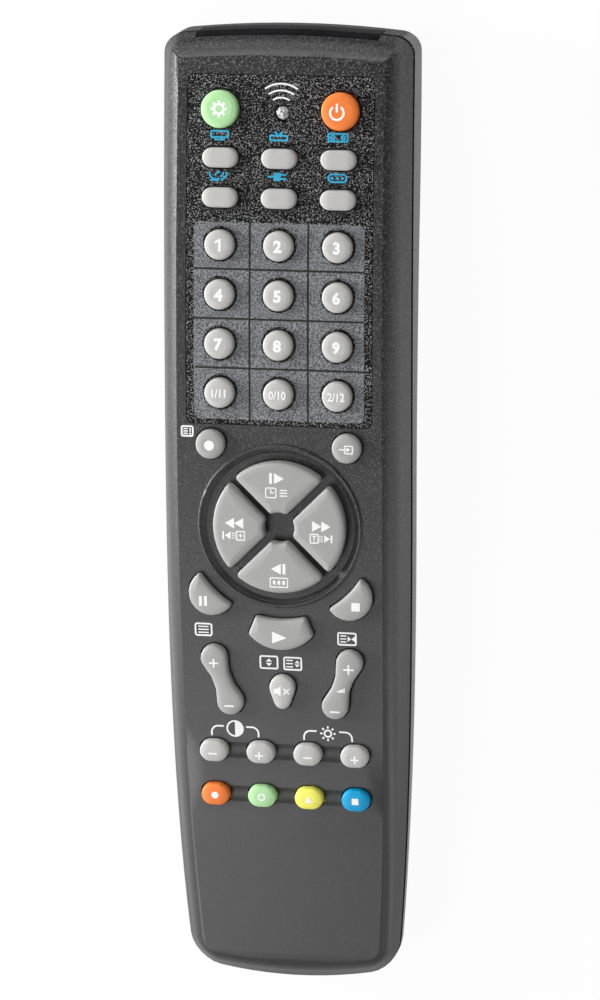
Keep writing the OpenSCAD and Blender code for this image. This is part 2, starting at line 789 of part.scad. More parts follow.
// The window's plan at a height, where its front leans in with the upper shell's wall
function window_line(z, back) =
    let (half = window_w / 2, corner = shaped([half, hl]) - [0, back])
    let (lean_in = wall_in * max(0, z - groove_top(hl)) / (shell_depth(hl) - shoulder(hl)))
    mirrored(concat(
        [for (i = [0:strip_steps]) shaped([half * i / strip_steps, hl]) - [0, lean_in]],
        [corner, [0, corner[1] - window_lens]]));

module ir_window() {
    color("#17141a") {
        loft([for (z = [window_z, groove_top(hl), window_z + window_h])
            [for (q = window_line(z, window_back + window_flange / 2)) [q[0], q[1], z]]]);
        end_strip(window_w / 2 + window_flange, window_back, window_back + window_flange,
            window_z - window_lap, window_z + window_h + window_lap);
    }
}

// The overlay's outline, grown all round, between two depths under the face
module overlay_form(grow, upper, lower) {
    intersection() {
        face_slab(overlay_w, overlay_tail - past, overlay_top + past, upper, lower);
        rounded_plate(overlay_w + 2 * grow, overlay_tail - grow, overlay_top + grow,
            overlay_corner, face_h + 2 * past);
    }
}

module front_overlay() {
    color("#1d1d1f")
        difference() {
            overlay_form(0, overlay_sink, overlay_t);
            for (k = KEYS)
                if (k[3] > overlay_tail)
                    key_cut(k, key_gap, -face_wall - past, key_rise);
            translate([lamp_x, lamp_y, board_top])
                cylinder(d = lamp_d + 2 * fit, h = face_h);
        }
}

module indicator_led() {
    color("#d8d2c8")
        translate([lamp_x, lamp_y, 0]) {
            translate([0, 0, board_top])
                cylinder(d = lamp_d, h = face(lamp_y) - board_top - lamp_sunk);
            translate([0, 0, face(lamp_y) - lamp_sunk])
                sphere(d = lamp_d);
        }
}

// Where a key's post meets the mat, as the post leans with the face
function foot_y(y) = y + (face(y) - (board_top + mat_top) / 2) * tan(lean(y));

module keypad_mat() {
    color("#8d8d8b")
        translate([0, 0, board_top])
            linear_extrude(mat_t)
                difference() {
                    translate([mat_edge - board_w / 2, board_y0 + mat_edge])
                        square([board_w - 2 * mat_edge, board_y1 - board_y0 - 2 * mat_edge]);
                    for (k = KEYS)
                        translate([k[2], foot_y(k[3])])
                            key_plan(k, post_gap - post_in);
                    translate([lamp_x, lamp_y])
                        circle(d = lamp_d + 2 * loose);
                }
}

module circuit_board() {
    color("#5b6b3a")
        box(-board_w / 2, board_w / 2, board_y0, board_y1, bay_top, board_top);
}

// Parts soldered under the board
module under_board(at) {
    translate([at[0], at[1], bay_top])
        mirror([0, 0, 1])
            children();
}

module controller_chip() {
    pin_x = (chip_w + pin_reach / 3) / 2;
    color("#222222")
        under_board(chip_at) {
            translate([0, 0, chip_h / 2 + chip_lift])
                cube([chip_w, (chip_pins + 0.5) * pin_pitch, chip_h], center = true);
            for (i = [0:chip_pins - 1], s = [-1, 1])
                translate([s * pin_x, (i - (chip_pins - 1) / 2) * pin_pitch, pin_t / 2])
                    cube([pin_reach, pin_w, pin_t], center = true);
        }
}

module resonator() {
    block = [7, 3, 5];
    color("#c98a2e")
        under_board(resonator_at)
            translate([-block[0] / 2, -block[1] / 2, 0])
                cube(block);
}

module capacitor() {
    can_d = 5;
    can_h = 7;
    color("#2b3f63")
        under_board(capacitor_at)
            cylinder(d = can_d, h = can_h);
}

module driver_transistor() {
    can_d = 4.8;
    can_h = 4.6;
    color("#262626")
        under_board(transistor_at)
            intersection() {
                cylinder(d = can_d, h = can_h);
                translate([-can_d / 2, -can_d / 3, 0])
                    cube([can_d, can_d, can_h]);
            }
}

module resistors() {
    body_d = 2;
    body_l = 6;
    color("#c8b48a")
        for (i = [0:3])
            under_board(resistor_at + [0, i * resistor_pitch])
                translate([-body_l / 2, 0, body_d / 2])
                    rotate([0, 90, 0])
                        cylinder(d = body_d, h = body_l);
}

module ir_led() {
    rim_t = 1;
    color("#5a4a6a") {
        translate([0, led_y, led_z])
            rotate([-90, 0, 0]) {
                cylinder(r = led_r + led_rim, h = rim_t);
                cylinder(r = led_r, h = led_len - led_r);
                translate([0, 0, led_len - led_r])
                    sphere(r = led_r);
            }
        for (x = [-lead_x, lead_x]) {
            box(x - lead_t / 2, x + lead_t / 2, led_y - lead_len, led_y + rim_t / 2,
                led_z - lead_t / 2, led_z + lead_t / 2);
            box(x - lead_t / 2, x + lead_t / 2, led_y - lead_len, led_y - lead_len + lead_t,
                led_z - lead_t / 2, bay_top);
        }
    }
}

// The two cells lie head to tail
module at_cells() {
    for (s = [-1, 1])
        translate([s * bay_hw / 2, bay_y, cell_z])
            rotate([0, 0, s < 0 ? 0 : 180])
                rotate([-90, 0, 0])
                    children();
}

module aaa_cells() {
    nub = 1;
    nub_r = 1.9;
    rim = 0.6;
    color("#3a6b54")
        at_cells()
            translate([0, 0, cell_end - cell_len])
                rotate_extrude()
                    polygon([[0, 0], [cell_d / 2 - rim, 0], [cell_d / 2, rim],
                        [cell_d / 2, cell_len - nub - rim], [cell_d / 2 - rim, cell_len - nub],
                        [nub_r, cell_len - nub], [nub_r, cell_len], [0, cell_len]]);
}

// A conical coil that opens from its tip to its seat, swept as one tube
module coil(r0, r1, h, turns) {
    steps = turns * 12;
    sides = 6;
    pts = [for (i = [0:steps], j = [0:sides - 1])
        let (t = i / steps, a = 360 * turns * t, b = 360 * j / sides)
        let (r = r0 + (r1 - r0) * t + spring_wire / 2 * cos(b))
        [r * cos(a), r * sin(a), h * t + spring_wire / 2 * sin(b)]];
    skin = [for (i = [0:steps - 1], j = [0:sides - 1], t = [0, 1])
        let (a = i * sides + j, b = i * sides + (j + 1) % sides)
        t == 0 ? [a, b, b + sides] : [a, b + sides, a + sides]];
    ends = [[for (j = [sides - 1:-1:0]) j], [for (j = [0:sides - 1]) steps * sides + j]];
    polyhedron(pts, concat(skin, ends));
}

module battery_springs() {
    h = bay_len / 2 + cell_end - cell_len - plate_t - spring_wire - loose / 2;
    color("#b9b6ae")
        at_cells() {
            translate([-contact_w / 2, -contact_w / 2, -bay_len / 2])
                cube([contact_w, contact_w, plate_t]);
            translate([0, 0, cell_end - cell_len - loose / 2 - spring_wire / 2])
                mirror([0, 0, 1])
                    coil(coil_tip, coil_seat, h, coil_turns);
        }
}

module battery_plates() {
    color("#b9b6ae")
        at_cells()
            translate([-contact_w / 2, -contact_w / 2, bay_len / 2 - plate_t])
                cube([contact_w, contact_w, plate_t]);
}

module case_screw() {
    slot = [0.6, 2.6, 2];
    color("#8f8f92")
        translate([0, screw_y, tray_z + fit])
            difference() {
                union() {
                    cylinder(r = screw_head_r, h = screw_head_t);
                    cylinder(d = screw_d, h = screw_top - tray_z - fit);
                }
                for (a = [0, 90])
                    rotate([0, 0, a])
                        cube(slot, center = true);
            }
}

top_case();
bottom_case();
battery_cover();
ir_window();
front_overlay();
indicator_led();
keypad_mat();
circuit_board();
controller_chip();
resonator();
capacitor();
driver_transistor();
resistors();
ir_led();
aaa_cells();
battery_springs();
battery_plates();
case_screw();
for (k = KEYS)
    key(k);
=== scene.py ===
import json
import math

import bmesh
import bpy
from bpy.props import FloatProperty, FloatVectorProperty, PointerProperty
from mathutils import Matrix, Vector
from mathutils.bvhtree import BVHTree
from mathutils.geometry import tessellate_polygon


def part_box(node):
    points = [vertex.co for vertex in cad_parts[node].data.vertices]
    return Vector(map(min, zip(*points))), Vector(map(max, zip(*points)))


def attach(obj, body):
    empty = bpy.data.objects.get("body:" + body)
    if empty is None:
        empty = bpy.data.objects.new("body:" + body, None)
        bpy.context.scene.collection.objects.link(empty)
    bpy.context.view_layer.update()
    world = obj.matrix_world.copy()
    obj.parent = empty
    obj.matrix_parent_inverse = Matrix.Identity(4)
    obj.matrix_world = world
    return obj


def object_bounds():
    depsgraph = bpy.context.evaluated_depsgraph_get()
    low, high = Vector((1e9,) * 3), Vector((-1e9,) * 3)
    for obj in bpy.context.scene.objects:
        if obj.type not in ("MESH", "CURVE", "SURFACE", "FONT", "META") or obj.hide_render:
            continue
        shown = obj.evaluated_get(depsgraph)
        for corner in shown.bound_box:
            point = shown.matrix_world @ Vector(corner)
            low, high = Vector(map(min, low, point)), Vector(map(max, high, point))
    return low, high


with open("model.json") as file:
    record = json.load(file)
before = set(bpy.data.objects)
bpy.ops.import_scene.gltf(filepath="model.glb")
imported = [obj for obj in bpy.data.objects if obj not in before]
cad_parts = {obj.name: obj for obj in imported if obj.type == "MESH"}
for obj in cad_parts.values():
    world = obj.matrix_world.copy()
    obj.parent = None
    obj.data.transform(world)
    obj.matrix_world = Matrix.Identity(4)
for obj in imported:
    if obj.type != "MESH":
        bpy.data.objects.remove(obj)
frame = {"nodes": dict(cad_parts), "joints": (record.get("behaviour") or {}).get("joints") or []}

bl_info = {
    "name": "Universal remote control",
    "version": (1, 0, 0),
    "blender": (4, 5, 0),
    "location": "3D View > Sidebar > Remote",
    "description": "Dresses a universal remote control: shells, keys, printed signs and stage",
    "category": "Object",
}

CAD_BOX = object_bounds()
MM = 0.001

WELD_GAP = 0.002 * MM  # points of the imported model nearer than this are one
SOFT_ANGLE = 40  # degrees past which an edge stays crisp, on the keys and small parts
SHELL_ANGLE = 30  # the same on the shells, the overlay and the window
LOOK_HEIGHT = 10 * MM  # height over the remote from which a surface is looked for
CROWN_DEPTH = 0.1 * MM  # depth under a key's top that still belongs to its crown

SHEEN_TAIL = -45 * MM  # place along the case where the grain is weakest and the painted sheen is strongest
SHEEN_END = 75 * MM  # place along the case from which the grain is whole and no sheen is painted
SHEEN_TAIL_GRAIN = 0.12  # share of the grain that is left at the tail
SHEEN_TONE = 0.35  # tone of the painted sheen at the tail, between the colours of the hollows and the tops
WALL_FACING = (0.84, 0.94)  # how squarely a wall faces the signal end where it turns dull
WALL_SHINE = (0.5, 0.03)  # shine of the case before that and after it

ARC_STEP = math.radians(9)  # turn between two points of a drawn arc
LEAST_RADIUS = 0.05  # least corner radius of a drawn box, in millimetres
SIGN_STEP = 0.7  # longest edge of a printed sign, in millimetres
PANEL_STEP = 3.0  # the same for the panels of the flatter overlay
CUT_GAP = 1e-5  # a cut that passes a point by less than this, in millimetres, goes through it
DIGIT_WELD = 0.0005  # points of a digit nearer than this are one, as a share of its size
SMALL_SQUEEZE = 0.85  # width of the double numbers as a share of their plain width
LABEL_SHIFT = (-0.3, 4.35)  # place of a device label from the middle of its key, in millimetres
SENSOR_HEIGHT = 36.0  # of the camera, in millimetres

DIGIT_KEY = "digit_key_"
DIGIT_KEYS = [[DIGIT_KEY + number for number in row]
              for row in (("1", "2", "3"), ("4", "5", "6"), ("7", "8", "9"), ("11", "0", "12"))]
DOUBLE_NUMBERS = {"digit_key_11": "1/11", "digit_key_0": "0/10", "digit_key_12": "2/12"}
DEVICE_KEYS = ["device_key_%d" % i for i in range(1, 7)]
PAD_KEYS = ["nav_up_key", "nav_left_key", "nav_down_key", "nav_right_key"]
LOWER_KEYS = ["record_key", "source_key", "pause_key", "stop_key", "play_key", "program_rocker",
              "volume_rocker"]
PALE_KEYS = ["mute_key", "contrast_down_key", "contrast_up_key", "bright_down_key", "bright_up_key"]


# Sizes and colours that a user may change

def linear(code):
    """Turns an sRGB hex colour to the linear values that the shaders use."""
    values = [int(code[i:i + 2], 16) / 255 for i in (1, 3, 5)]
    return [v / 12.92 if v <= 0.04045 else ((v + 0.055) / 1.055) ** 2.4 for v in values] + [1.0]


def colour(label, code):
    """A colour, given as sRGB hex."""
    return FloatVectorProperty(name=label, description="Colour of the " + label.lower(), size=4,
                               subtype="COLOR", min=0, max=1, default=linear(code))


def length(label, words, millimetres):
    """A length, given in millimetres."""
    return FloatProperty(name=label, description=words, default=millimetres * MM,
                         unit="LENGTH", subtype="DISTANCE", precision=5)


def angle(label, words, degrees):
    """An angle, given in degrees."""
    return FloatProperty(name=label, description=words, default=math.radians(degrees), subtype="ANGLE")


def power(label, words, watts):
    """The power of a light."""
    return FloatProperty(name=label, description=words, default=watts, unit="POWER")


def share(label, words, part):
    """A share between nought and one."""
    return FloatProperty(name=label, description=words, default=part, min=0, max=1, subtype="FACTOR")


class RemoteFinish(bpy.types.PropertyGroup):
    """Colours and surface grain of the remote's materials."""
    case_dark: colour("Case grain hollows", "#1f1f20")
    case_light: colour("Case grain tops", "#585859")
    film_dark: colour("Overlay film", "#0b0b0c")
    # The overlay's grain tops are coloured light as painted glints on the embossed film
    film_glint_tops: colour("Overlay grain tops", "#949494")
    panel_dark: colour("Number panel hollows", "#474a4e")
    panel_light: colour("Number panel tops", "#8b8e92")
    key_warm: colour("Upper keys", "#c0bfbc")
    key_cool: colour("Lower keys", "#a8a8a6")
    key_green: colour("Green keys", "#b6e6a9")
    key_orange: colour("Orange keys", "#f8843c")
    key_yellow: colour("Yellow key", "#faf56c")
    key_blue: colour("Blue key", "#049fd4")
    ink_white: colour("White ink", "#fbfbfa")
    ink_black: colour("Black ink", "#0a0a0b")
    ink_blue: colour("Blue ink", "#35b3dd")
    # Real grain is finer than a dot of the picture, so each is drawn as coarse as it needs to show
    case_grain: length("Case grain", "Width of the moulded grain of the case", 0.42)
    film_grain: length("Overlay grain", "Width of the embossed grain of the overlay", 0.3)
    key_grain: length("Key grain", "Width of the soft grain of the keys", 0.6)


class RemotePrint(bpy.types.PropertyGroup):
    """Sizes of the printed signs."""
    proud: length("Ink height", "Height of the ink over its surface", 0.03)
    sunk: length("Ink depth", "Depth of the ink under its surface", 0.03)
    digit: length("Digit height", "Height of the digits on the number keys", 2.6)
    small_digit: length("Small digit height", "Height of the double numbers in the last row", 1.8)
    line: length("Line", "Width of the lines of the signs", 0.36)
    fine_line: length("Fine line", "Width of the lines inside a sign", 0.26)
    panel_gap: length("Panel gap", "Width of the dark lines between the number panels", 0.42)
    panel_reach: length("Panel reach", "How far a panel reaches in over a number key's skirt", 0.04)


class RemoteStage(bpy.types.PropertyGroup):
    """Camera and light of the picture."""
    azimuth: angle("Azimuth", "Turn of the camera to the right of the face", 11.44)
    elevation: angle("Elevation", "Turn of the camera to the signal end", 12.86)
    roll: angle("Roll", "Turn of the camera about its view", -0.432)
    distance: length("Distance", "Distance of the camera from the middle of the case", 1081.66)
    side_step: length("Side step", "Step of the camera along the picture's width", -0.608)
    focal: FloatProperty(name="Focal length", description="Focal length of the lens", default=184.52,
                         unit="CAMERA")
    sky: FloatProperty(name="Room light", description="Strength of the even light of the room",
                       default=0.16, min=0)
    left_box: power("Left softbox", "Power of the softbox on the left", 10.0)
    end_box: power("End softbox", "Power of the softbox past the signal end", 4.0)
    tail_box: power("Tail softbox", "Power of the softbox over the tail", 5.1)
    right_box: power("Right softbox", "Power of the softbox over the right side", 0.7)
    right_strip: power("Right strip", "Power of the low strip light on the right", 1.3)


# Materials

def add_node(material, kind, sockets=None, **settings):
    """Adds a node with its settings; a socket takes a constant or another node's output."""
    made = material.node_tree.nodes.new(kind)
    for name, value in settings.items():
        setattr(made, name, value)
    for name, value in (sockets or {}).items():
        if isinstance(value, bpy.types.NodeSocket):
            material.node_tree.links.new(value, made.inputs[name])
        else:
            made.inputs[name].default_value = value
    return made


def new_material(name):
    """A material without nodes."""
    made = bpy.data.materials.new(name)
    made.use_nodes = True
    made.node_tree.nodes.clear()
    return made


def darker(tone, part):
    """The same colour with a part of its light."""
    return [c * part for c in tone[:3]] + [1.0]


def grained(made, hollow, top, sockets, grain, depth, rough, edge=(0.4, 0.6), detail=2.0, tail_sheen=None):
    """Fills a material with a grain that lifts from one colour to another and takes the light with it.

    sockets holds the shader's own values. grain and depth are widths and heights in metres, rough is the
    range of roughness and edge the part of the noise over which the colour lifts. tail_sheen gives the two
    places along the case between which the grain comes up, and its share and tone at the first of them;
    that tone is a painted sheen that lightens the tail.
    """
    place = add_node(made, "ShaderNodeTexCoord").outputs["Object"]
    noise = add_node(made, "ShaderNodeTexNoise",
                     {"Vector": place, "Scale": 1 / grain, "Detail": detail, "Roughness": 0.6})
    lift = add_node(made, "ShaderNodeMapRange",
                    {"Value": noise.outputs["Fac"], "From Min": edge[0], "From Max": edge[1]},
                    interpolation_type="SMOOTHSTEP")
    height = lift.outputs["Result"]
    # Along the case the grain fades and its tone is pulled to one fixed tone: a painted sheen on the tail
    if tail_sheen:
        tail, end, least, tone = tail_sheen
        along = add_node(made, "ShaderNodeSeparateXYZ", {"Vector": place}).outputs["Y"]
        kept = add_node(made, "ShaderNodeMapRange",
                        {"Value": along, "From Min": tail, "From Max": end, "To Min": least})
        height = add_node(made, "ShaderNodeMix", {0: kept.outputs["Result"], 2: tone, 3: height}).outputs[0]
    tint = add_node(made, "ShaderNodeMix", {0: height, 6: hollow, 7: top}, data_type="RGBA")
    dull = add_node(made, "ShaderNodeMapRange",
                    {"Value": noise.outputs["Fac"], "To Min": rough[1], "To Max": rough[0]})
    bump = add_node(made, "ShaderNodeBump", {"Height": height, "Distance": depth, "Strength": 1.0})
    shader = add_node(made, "ShaderNodeBsdfPrincipled",
                      {"Base Color": tint.outputs[2], "Roughness": dull.outputs["Result"],
                       "Normal": bump.outputs["Normal"], **sockets})
    add_node(made, "ShaderNodeOutputMaterial", {"Surface": shader.outputs["BSDF"]})
    return made


def moulded_abs(finish):
    """Moulded ABS from a spark-eroded tool: a dull dark grey, speckled at the signal end; towards the
    tail the grain fades and a painted sheen lightens it. The wall round the signal window has no shine."""
    made = new_material("moulded_abs")
    facing = add_node(made, "ShaderNodeTexCoord").outputs["Normal"]
    to_end = add_node(made, "ShaderNodeSeparateXYZ", {"Vector": facing}).outputs["Y"]
    shine = add_node(made, "ShaderNodeMapRange",
                     {"Value": to_end, "From Min": WALL_FACING[0], "From Max": WALL_FACING[1],
                      "To Min": WALL_SHINE[0], "To Max": WALL_SHINE[1]})
    # The case is painted lighter towards the tail: a painted sheen, with its grain fading there
    return grained(made, finish.case_dark, finish.case_light,
                   {"IOR": 1.54, "Specular IOR Level": shine.outputs["Result"]},
                   grain=finish.case_grain, depth=0.045 * MM, rough=(0.34, 0.46), edge=(0.48, 0.7),
                   tail_sheen=(SHEEN_TAIL, SHEEN_END, SHEEN_TAIL_GRAIN, SHEEN_TONE))


def embossed_film(finish):
    """Embossed polyester film: near black, with small grain tops coloured light grey as painted glints."""
    return grained(new_material("embossed_polyester_film"), finish.film_dark, finish.film_glint_tops,
                   {"IOR": 1.6, "Specular IOR Level": 0.15},
                   grain=finish.film_grain, depth=0.05 * MM, rough=(0.35, 0.5), edge=(0.54, 0.62),
                   detail=1.0)


def panel_ink(finish):
    """Bluish grey screen ink over the same embossed film: the grain shows through as speckle."""
    return grained(new_material("screen_ink_grey"), finish.panel_dark, finish.panel_light, {"IOR": 1.5},
                   grain=finish.film_grain, depth=0.02 * MM, rough=(0.4, 0.6), detail=1.0)


def silicone_rubber(finish, name, tone):
    """Moulded silicone rubber: an even satin colour, a little cloudy, that takes soft light."""
    return grained(new_material("silicone_rubber_" + name), darker(tone, 0.93), tone, {"IOR": 1.41},
                   grain=finish.key_grain, depth=0.004 * MM, rough=(0.44, 0.56), edge=(0.3, 0.6),
                   detail=3.0)


def screen_ink(name, tone):
    """Screen-printed ink: a thin opaque film whose colour is a little uneven."""
    return grained(new_material("screen_ink_" + name), darker(tone, 0.94), tone, {"IOR": 1.5},
                   grain=0.3 * MM, depth=0.002 * MM, rough=(0.45, 0.6))


def dark_polycarbonate():
    """Polycarbonate that passes infrared: satin black with faint flow marks."""
    return grained(new_material("dark_polycarbonate"), linear("#08070a"), linear("#121015"),
                   {"IOR": 1.585, "Specular IOR Level": 0.02},
                   grain=9 * MM, depth=0.002 * MM, rough=(0.45, 0.55))


def diffused_epoxy():
    """Diffused epoxy of a small lamp: milky, with bright and grey flecks of the lens behind."""
    return grained(new_material("diffused_epoxy"), linear("#77777a"), linear("#f2f2f0"), {"IOR": 1.55},
                   grain=0.55 * MM, depth=0.02 * MM, rough=(0.12, 0.3), edge=(0.38, 0.6))


def paper_laminate():
    """Phenolic paper board under green resist: a dull olive with faint fibres."""
    return grained(new_material("phenolic_paper_laminate"), linear("#4c5a30"), linear("#65763f"),
                   {"IOR": 1.55}, grain=1.2 * MM, depth=0.003 * MM, rough=(0.35, 0.5), detail=5.0)


def moulded_epoxy():
    """Transfer-moulded epoxy of the chip and transistor: charcoal black with a fine filler grain."""
    return grained(new_material("moulded_epoxy"), linear("#1b1b1c"), linear("#2a2a2b"), {"IOR": 1.55},
                   grain=0.25 * MM, depth=0.004 * MM, rough=(0.5, 0.65))


def dipped_ceramic():
    """Ceramic dipped in lacquer: a warm ochre with a wet, slightly lumpy skin."""
    return grained(new_material("dipped_ceramic"), linear("#b9741f"), linear("#d79840"), {"IOR": 1.55},
                   grain=1.4 * MM, depth=0.02 * MM, rough=(0.2, 0.32))


def shrink_sleeve(name, low, high):
    """Heat-shrunk plastic sleeve: glossy print with faint ripples from the shrinking."""
    return grained(new_material("shrink_sleeve_" + name), linear(low), linear(high), {"IOR": 1.52},
                   grain=3.5 * MM, depth=0.01 * MM, rough=(0.18, 0.3))


def plated_steel():
    """Nickel-plated spring steel: a warm silver metal with fine drawing marks."""
    return grained(new_material("nickel_plated_steel"), linear("#a9a7a2"), linear("#cfcdc8"),
                   {"Metallic": 1.0}, grain=0.5 * MM, depth=0.003 * MM, rough=(0.2, 0.34), detail=4.0)


def dress(node, material, soft_angle=SOFT_ANGLE):
    """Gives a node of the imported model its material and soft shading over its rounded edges."""
    piece = frame["nodes"][node]
    piece.data.materials.clear()
    piece.data.materials.append(material)
    piece.data.shade_smooth()
    weld = piece.modifiers.new("one skin", "WELD")
    weld.merge_threshold = WELD_GAP
    split = piece.modifiers.new("crisp edges", "EDGE_SPLIT")
    split.split_angle = math.radians(soft_angle)
    soft = piece.modifiers.new("even shading", "WEIGHTED_NORMAL")
    soft.mode = "FACE_AREA_WITH_ANGLE"


# Flat shapes: a shape is a list of loops in millimetres, the outside first and its holes after

def arc(x, y, r, start=0.0, end=360.0):
    """Points round an arc, in degrees from the right; a full turn leaves out the last point."""
    a, b = math.radians(start), math.radians(end)
    count = max(2, math.ceil(abs(b - a) / ARC_STEP))
    full = abs(end - start) >= 360
    angles = [a + (b - a) * i / count for i in range(count if full else count + 1)]
    return [(x + r * math.cos(t), y + r * math.sin(t)) for t in angles]


def disc(x, y, r):
    """A filled circle."""
    return [arc(x, y, r)]


def ring(x, y, r, line):
    """A circle drawn as a line."""
    return [arc(x, y, r), arc(x, y, r - line)]


def arc_line(x, y, r, start, end, line):
    """A line of even width along an arc."""
    return [arc(x, y, r + line / 2, start, end) + arc(x, y, r - line / 2, end, start)]


def bar(x0, y0, x1, y1, line):
    """A straight line of even width with square ends."""
    along = Vector((x1 - x0, y1 - y0)).normalized() * line / 2
    n = Vector((-along.y, along.x))
    return [[(x0 + n.x, y0 + n.y), (x0 - n.x, y0 - n.y), (x1 - n.x, y1 - n.y), (x1 + n.x, y1 + n.y)]]


def rounded(x, y, w, h, corners):
    """Loop of a box; corners gives the radius at right top, left top, left low and right low."""
    signs = ((1, 1), (-1, 1), (-1, -1), (1, -1))
    points = []
    for i, ((sx, sy), r) in enumerate(zip(signs, corners)):
        points += arc(x + sx * (w / 2 - r), y + sy * (h / 2 - r), r, 90 * i, 90 * i + 90)
    return points


def box(x, y, w, h, r=LEAST_RADIUS):
    """A filled box."""
    return [rounded(x, y, w, h, [r] * 4)]


def frame_box(x, y, w, h, r, line):
    """A box drawn as a line."""
    return [rounded(x, y, w, h, [r] * 4),
            rounded(x, y, w - 2 * line, h - 2 * line, [max(r - line, LEAST_RADIUS)] * 4)]


def wedge(x, y, w, h):
    """A triangle that points along +X, or along -X where w is negative."""
    return [[(x - w / 2, y - h / 2), (x + w / 2, y), (x - w / 2, y + h / 2)]]


def peak(x, y, w, h):
    """A triangle that points along +Y, or along -Y where h is negative."""
    return [[(x - w / 2, y - h / 2), (x + w / 2, y - h / 2), (x, y + h / 2)]]


def plus(x, y, size, line):
    """A plus sign as one outline."""
    s, t = size / 2, line / 2
    corners = ((-s, -t), (-t, -t), (-t, -s), (t, -s), (t, -t), (s, -t),
               (s, t), (t, t), (t, s), (-t, s), (-t, t), (-s, t))
    return [[(x + across, y + up) for across, up in corners]]


def minus(x, y, size, line):
    """A minus sign."""
    return bar(x - size / 2, y, x + size / 2, y, line)


def cog(x, y, r, teeth, line):
    """A toothed wheel drawn as a line round an open middle; a tooth's foot is wider than its tip."""
    rim = []
    pitch, tip = 360 / teeth, 90 / teeth
    foot = tip * 1.3
    for i in range(teeth):
        middle = 360 * i / teeth
        rim += arc(x, y, r, middle - tip, middle + tip)
        rim += arc(x, y, r - line, middle + foot, middle + pitch - foot)
    return [rim, arc(x, y, r - 2 * line)]


def cut_up(flat, longest):
    """Cuts flat faces along a square grid, so that they are short enough to follow a curved surface."""
    for axis in (0, 1):
        places = [v.co[axis] for v in flat.verts]
        low, span = min(places), max(places) - min(places)
        count = math.ceil(span / longest)
        for i in range(1, count):
            at, across = Vector((0, 0, 0)), Vector((0, 0, 0))
            at[axis] = low + span * i / count
            across[axis] = 1
            bmesh.ops.bisect_plane(flat, geom=flat.verts[:] + flat.edges[:] + flat.faces[:], dist=CUT_GAP,
                                   plane_co=at, plane_no=across)


def flat_mesh(shapes, longest=SIGN_STEP):
    """Fills the shapes as flat faces."""
    flat = bmesh.new()
    for loops in shapes:
        lifted = [[Vector((x, y, 0)) for x, y in loop] for loop in loops]
        verts = [flat.verts.new(point) for loop in lifted for point in loop]
        for corners in tessellate_polygon(lifted):
            flat.faces.new([verts[i] for i in corners])
    cut_up(flat, longest)
    return flat


def written(text, height, bold, squeeze=1.0):
    """Flat faces of plain digits, in millimetres, with their middle at the origin."""
    curve = bpy.data.curves.new("digits", "FONT")
    curve.body = text
    curve.size = 1.0
    curve.offset = bold
    curve.resolution_u = 3
    holder = bpy.data.objects.new("digits", curve)
    bpy.context.collection.objects.link(holder)
    bpy.context.view_layer.update()
    mesh = bpy.data.meshes.new_from_object(holder.evaluated_get(bpy.context.evaluated_depsgraph_get()))
    flat = bmesh.new()
    flat.from_mesh(mesh)
    bmesh.ops.remove_doubles(flat, verts=flat.verts, dist=DIGIT_WELD)
    bpy.data.objects.remove(holder)
    bpy.data.curves.remove(curve)
    bpy.data.meshes.remove(mesh)
    low = Vector([min(v.co[i] for v in flat.verts) for i in range(2)])
    high = Vector([max(v.co[i] for v in flat.verts) for i in range(2)])
    grow = height / (high.y - low.y)
    for v in flat.verts:
        v.co.x = (v.co.x - (low.x + high.x) / 2) * grow * squeeze
        v.co.y = (v.co.y - (low.y + high.y) / 2) * grow
    return flat


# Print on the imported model

class Surface:
    """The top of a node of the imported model, found by looking straight down on it."""

    def __init__(self, node):
        self.node = node
        mesh = frame["nodes"][node].data
        self.tree = BVHTree.FromPolygons([v.co for v in mesh.vertices],
                                         [p.vertices for p in mesh.polygons])
        self.start = CAD_BOX[1].z + LOOK_HEIGHT

    def point(self, x, y, lift):
        """Point over the surface at a place in metres, and a height along its normal."""
        hit, normal, _, _ = self.tree.ray_cast(Vector((x, y, self.start)), Vector((0, 0, -1)))
        if hit is None:
            raise RuntimeError("%s has no surface at %.4f, %.4f" % (self.node, x, y))
        return hit + normal * lift


def printed(name, flat, at, node, body, material):
    """Lays a flat sign on a node as a thin closed film of ink, and makes it ride on a body."""
    sizes = bpy.context.scene.remote_print
    under = Surface(node)
    film = bmesh.new()
    places = [((at[0] + v.co.x) * MM, (at[1] + v.co.y) * MM) for v in flat.verts]
    flat.verts.index_update()
    top = [film.verts.new(under.point(x, y, sizes.proud)) for x, y in places]
    low = [film.verts.new(under.point(x, y, -sizes.sunk)) for x, y in places]
    for face in flat.faces:
        corners = [v.index for v in face.verts]
        film.faces.new([top[i] for i in corners])
        film.faces.new([low[i] for i in reversed(corners)])
    for edge in flat.edges:
        if edge.is_boundary:
            a, b = (v.index for v in edge.verts)
            film.faces.new((top[a], top[b], low[b], low[a]))
    bmesh.ops.recalc_face_normals(film, faces=film.faces)
    mesh = bpy.data.meshes.new(name)
    film.to_mesh(mesh)
    film.free()
    flat.free()
    mesh.materials.append(material)
    piece = bpy.data.objects.new(name, mesh)
    bpy.context.collection.objects.link(piece)
    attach(piece, body)


def key_middle(node):
    """Middle of a key's crown, in millimetres."""
    mesh = frame["nodes"][node].data
    joint = next(j for j in frame["joints"] if j["child"] == node)
    normal = -Vector(joint["axis"])
    top = max(v.co.dot(normal) for v in mesh.vertices)
    crown = [v.co for v in mesh.vertices if v.co.dot(normal) > top - CROWN_DEPTH]
    return [(min(p[i] for p in crown) + max(p[i] for p in crown)) / 2 / MM for i in range(2)]


# Signs of the keys and the face: places and sizes in millimetres about a sign's own middle

def one_sign(height):
    """The numeral one with its flag."""
    h = height / 2
    return [[[(-0.05, -h), (0.5, -h), (0.5, h), (0.1, h), (-0.8, h - 0.55), (-0.8, h - 1.0),
              (-0.05, h - 0.65)]]]


